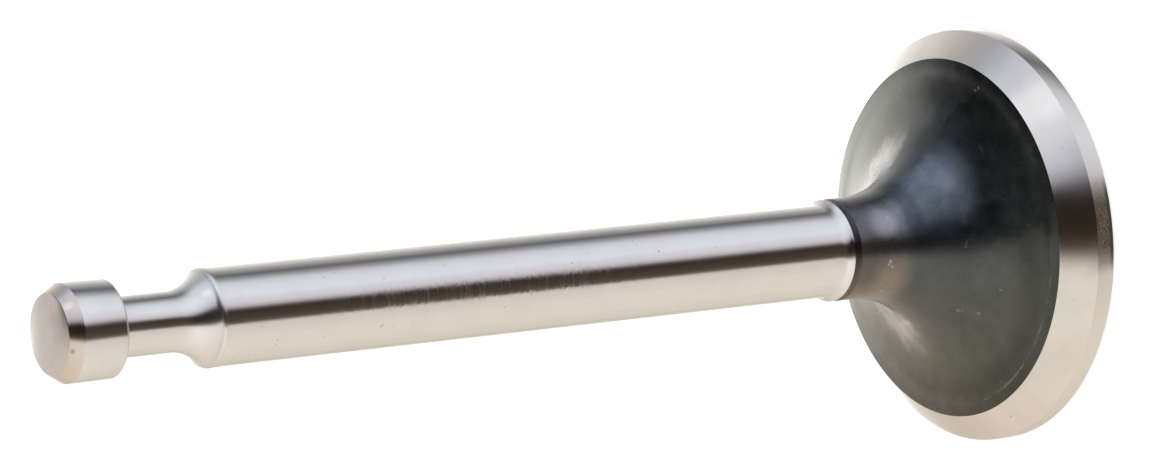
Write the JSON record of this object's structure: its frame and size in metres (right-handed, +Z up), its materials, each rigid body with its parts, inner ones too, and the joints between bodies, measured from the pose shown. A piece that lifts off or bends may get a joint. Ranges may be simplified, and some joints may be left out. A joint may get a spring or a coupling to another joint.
{
  "type": "engine poppet valve",
  "caption": "Solid steel poppet valve for a small engine: flat head with a conical seat, tulip neck, slim ground stem and a keeper groove below the tip.",
  "frame": {"origin": "centre of the flat combustion face, which the valve stands on", "axes": "+Z up the stem towards the tip; every surface is turned about Z, so X and Y are free"},
  "size_m": [0.0286, 0.0286, 0.0733],
  "materials": {
    "valve_steel": "ground bright on the stem, seat, margin and tip; dark heat scale on the tulip and neck"
  },
  "bodies": {
    "root": {"valve": "valve_steel"}
  },
  "joints": []
}
